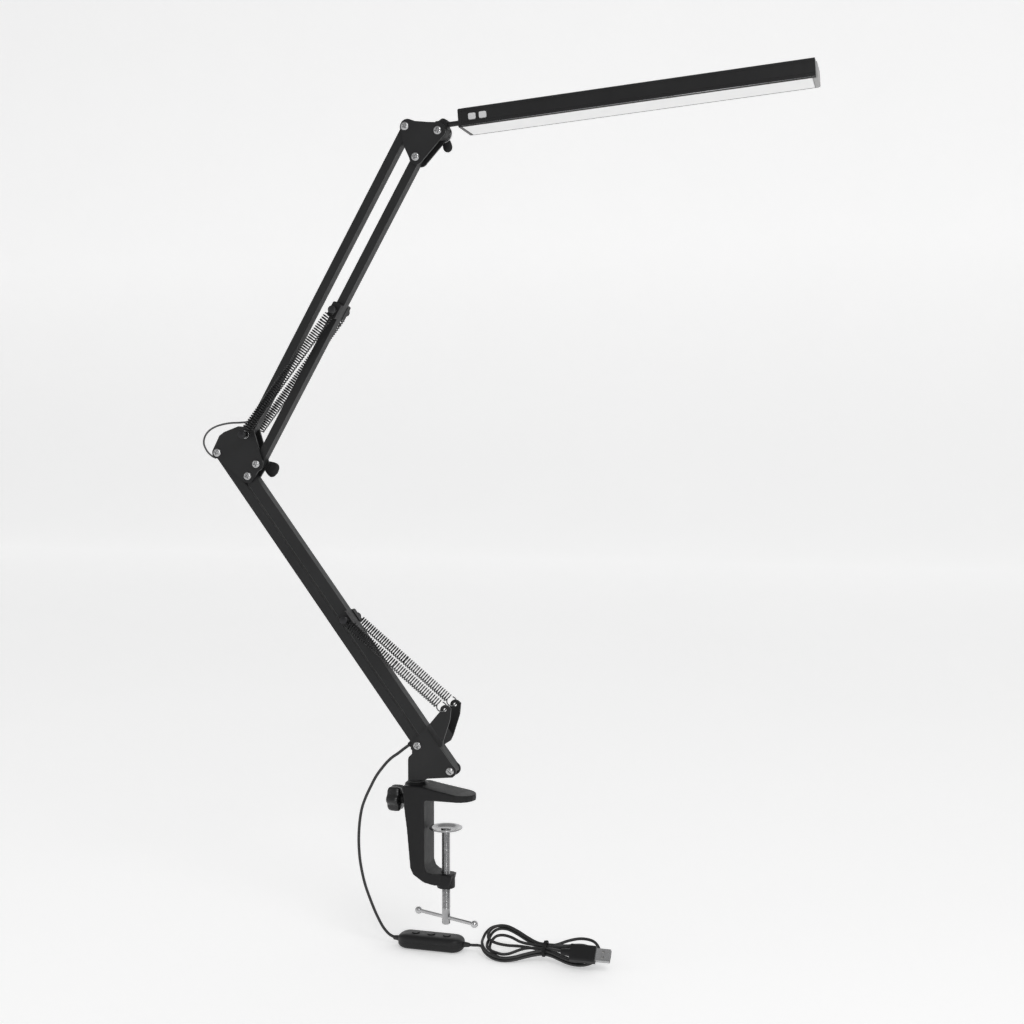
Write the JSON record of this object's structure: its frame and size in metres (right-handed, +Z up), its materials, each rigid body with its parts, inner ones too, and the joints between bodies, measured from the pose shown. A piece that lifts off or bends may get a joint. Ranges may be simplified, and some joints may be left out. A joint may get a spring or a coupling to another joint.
{
  "type": "lamp",
  "caption": "Clamp-on architect desk lamp: two sprung parallelogram arms, a slim LED light bar and a USB cord with an in-line controller",
  "frame": {"origin": "on the underside of the clamp's fixed jaw, on the clamp screw's axis", "axes": "+X along the arms' plane towards the light bar, +Y away from the lamp's front, +Z up"},
  "size_m": [0.5787, 0.0952, 0.81],
  "materials": {
    "black_enamel": "satin black enamel, fine texture",
    "cast_black": "powder-coated casting",
    "chrome_steel": "bright plated",
    "steel": "bright zinc",
    "black_plastic": "matt moulded",
    "knob_plastic": "semi-gloss moulded",
    "head_black": "black anodised extrusion",
    "diffuser_white": "opal",
    "cap_grey": "light grey moulded",
    "button_silver": "metallised",
    "board_white": "solder-masked board",
    "bush_nylon": "black nylon",
    "cord_black": "soft PVC",
    "cable_grey": "dark grey PVC"
  },
  "bodies": {
    "clamp": {"clamp_frame": "cast_black", "swivel_bush": "bush_nylon", "usb_cord": "cord_black", "controller_top_shell": "black_plastic", "controller_bottom_shell": "black_plastic", "controller_board": "board_white", "cord_reliefs": "cord_black", "cord_hank": "cord_black", "cord_tie": "cord_black", "usb_plug_body": "black_plastic", "usb_plug_shell": "steel", "usb_plug_contacts": "board_white"},
    "pad": {"pressure_pad": "steel"},
    "screw": {"clamp_screw": "steel"},
    "tommy": {"tommy_bar": "steel"},
    "lock_knob": {"swivel_lock_knob": "knob_plastic"},
    "base": {"base_bracket": "black_enamel", "swivel_post": "black_enamel", "base_pivot_screws": "steel", "base_pivot_nuts": "steel", "cord_gland": "black_plastic"},
    "lower_rear": {"lower_rear_bar": "black_enamel"},
    "lower_front": {"lower_front_bar": "black_enamel", "lower_spring_pin": "steel", "lower_spring_clip": "black_plastic"},
    "lower_spring_tops": {"lower_springs_arm_half": "chrome_steel"},
    "lower_spring_feet": {"lower_springs_base_half": "chrome_steel"},
    "elbow": {"elbow_plate_front": "black_enamel", "elbow_plate_rear": "black_enamel", "elbow_pivot_screws": "steel", "elbow_pivot_nuts": "steel", "elbow_cable": "cable_grey"},
    "elbow_wing": {"elbow_wing_nut": "black_enamel"},
    "upper_rear": {"upper_rear_bar": "black_enamel"},
    "upper_front": {"upper_front_bar": "black_enamel", "upper_spring_pin": "steel", "upper_spring_clip": "black_plastic"},
    "upper_spring_coils": {"upper_springs": "chrome_steel"},
    "upper_spring_tops": {"upper_spring_ends": "chrome_steel"},
    "head_bracket": {"head_plate_front": "black_enamel", "head_plate_rear": "black_enamel", "head_pivot_screws": "steel", "head_pivot_nuts": "steel", "head_tilt_bolt": "steel", "head_tilt_washers": "steel"},
    "head_wing": {"head_wing_nut": "black_enamel"},
    "knuckle": {"head_knuckle": "black_plastic"},
    "head": {"head_stem": "black_enamel", "head_housing": "head_black", "head_diffuser": "diffuser_white", "head_led_board": "board_white", "head_left_cap": "black_plastic", "head_right_cap": "cap_grey"},
    "power_button": {"head_power_button": "button_silver"},
    "dimmer_button": {"head_dimmer_button": "button_silver"},
    "controller_power": {"controller_power_button": "black_plastic"},
    "controller_brighter": {"controller_brighter_button": "black_plastic"},
    "controller_dimmer": {"controller_dimmer_button": "black_plastic"}
  },
  "joints": [
    {"name": "clamp_travel", "type": "slide", "parent": "clamp", "child": "pad", "axis": [0, 0, -1], "range_m": [-0.022, 0.03]},
    {"name": "clamp_screw_turn", "type": "hinge", "parent": "pad", "child": "screw", "pos_m": [0, 0, -0.06], "axis": [0, 0, 1], "range_deg": [-6336, 8640]},
    {"name": "tommy_slide", "type": "slide", "parent": "screw", "child": "tommy", "axis": [0.9354, -0.3535, 0], "range_m": [-0.024, 0.024]},
    {"name": "swivel_lock_turn", "type": "hinge", "parent": "clamp", "child": "lock_knob", "pos_m": [-0.045, 0, -0.003], "axis": [1, 0, 0], "continuous": true},
    {"name": "base_swivel", "type": "hinge", "parent": "clamp", "child": "base", "pos_m": [-0.0288, 0, 0.01], "axis": [0, 0, 1], "range_deg": [-120, 120], "deforming": ["usb_cord"]},
    {"name": "lower_arm", "type": "hinge", "parent": "base", "child": "lower_front", "pos_m": [0.0065, 0, 0.0269], "axis": [0, 1, 0], "range_deg": [-3, 60]},
    {"name": "lower_link", "type": "hinge", "parent": "base", "child": "lower_rear", "pos_m": [-0.025, 0, 0.049], "axis": [0, 1, 0], "range_deg": [-3, 60]},
    {"name": "lower_springs_feet_turn", "type": "hinge", "parent": "base", "child": "lower_spring_feet", "pos_m": [0.0045, 0, 0.085], "axis": [0, 1, 0], "range_deg": [-4.32, 86.4], "deforming": ["lower_springs_base_half"]},
    {"name": "lower_springs_tops_turn", "type": "hinge", "parent": "lower_front", "child": "lower_spring_tops", "pos_m": [-0.09389, 0, 0.1641], "axis": [0, 1, 0], "range_deg": [-1.32, 26.4], "deforming": ["lower_springs_arm_half"]},
    {"name": "elbow_level", "type": "hinge", "parent": "lower_front", "child": "elbow", "pos_m": [-0.1949, 0, 0.2971], "axis": [0, 1, 0], "range_deg": [-60, 3]},
    {"name": "elbow_wing_turn", "type": "hinge", "parent": "elbow", "child": "elbow_wing", "pos_m": [-0.1861, 0, 0.3085], "axis": [0, 1, 0], "continuous": true},
    {"name": "upper_arm", "type": "hinge", "parent": "elbow", "child": "upper_front", "pos_m": [-0.1861, 0, 0.3085], "axis": [0, 1, 0], "range_deg": [-10, 70], "deforming": ["elbow_cable"]},
    {"name": "upper_link", "type": "hinge", "parent": "elbow", "child": "upper_rear", "pos_m": [-0.1961, 0, 0.3364], "axis": [0, 1, 0], "range_deg": [-10, 70]},
    {"name": "upper_springs_turn", "type": "hinge", "parent": "elbow", "child": "upper_spring_coils", "pos_m": [-0.1961, 0, 0.3364], "axis": [0, 1, 0], "range_deg": [-10, 70], "deforming": ["upper_springs"]},
    {"name": "upper_springs_stretch", "type": "slide", "parent": "upper_spring_coils", "child": "upper_spring_tops", "axis": [0.6272, 0, 0.7789], "range_m": [-0.00479, 0.03296], "deforming": ["upper_spring_ends"]},
    {"name": "head_level", "type": "hinge", "parent": "upper_front", "child": "head_bracket", "pos_m": [-0.0251, 0, 0.58736], "axis": [0, 1, 0], "range_deg": [-70, 10]},
    {"name": "head_wing_turn", "type": "hinge", "parent": "head_bracket", "child": "head_wing", "pos_m": [-0.0039, 0, 0.60966], "axis": [0, 1, 0], "continuous": true},
    {"name": "head_tilt", "type": "hinge", "parent": "head_bracket", "child": "knuckle", "pos_m": [-0.0039, 0, 0.60966], "axis": [0, 1, 0], "range_deg": [-30, 50]},
    {"name": "head_roll", "type": "hinge", "parent": "knuckle", "child": "head", "pos_m": [0.0196, 0, 0.617], "axis": [0.9974, 0, 0.0715], "range_deg": [-90, 90]},
    {"name": "power_button_press", "type": "slide", "parent": "head", "child": "power_button", "axis": [0, 1, 0], "range_m": [0, 0.0006], "stiffness_N_per_m": 400, "springref_m": -0.0005},
    {"name": "dimmer_button_press", "type": "slide", "parent": "head", "child": "dimmer_button", "axis": [0, 1, 0], "range_m": [0, 0.0006], "stiffness_N_per_m": 400, "springref_m": -0.0005},
    {"name": "controller_power_press", "type": "slide", "parent": "clamp", "child": "controller_power", "axis": [0, 0, -1], "range_m": [0, 0.0006], "stiffness_N_per_m": 400, "springref_m": -0.0005},
    {"name": "controller_brighter_press", "type": "slide", "parent": "clamp", "child": "controller_brighter", "axis": [0, 0, -1], "range_m": [0, 0.0006], "stiffness_N_per_m": 400, "springref_m": -0.0005},
    {"name": "controller_dimmer_press", "type": "slide", "parent": "clamp", "child": "controller_dimmer", "axis": [0, 0, -1], "range_m": [0, 0.0006], "stiffness_N_per_m": 400, "springref_m": -0.0005}
  ],
  "couplings": [
    {"joint": "clamp_travel", "follows": "clamp_screw_turn", "m_per_rad": 0.00019894},
    {"joint": "lower_link", "follows": "lower_arm", "ratio": 1},
    {"joint": "lower_springs_feet_turn", "follows": "lower_arm", "ratio": 1.44},
    {"joint": "lower_springs_tops_turn", "follows": "lower_arm", "ratio": 0.44},
    {"joint": "elbow_level", "follows": "lower_arm", "ratio": -1},
    {"joint": "upper_link", "follows": "upper_arm", "ratio": 1},
    {"joint": "upper_springs_turn", "follows": "upper_arm", "ratio": 1},
    {"joint": "upper_springs_stretch", "follows": "upper_arm", "m_per_rad": 0.0269},
    {"joint": "head_level", "follows": "upper_arm", "ratio": -1}
  ]
}
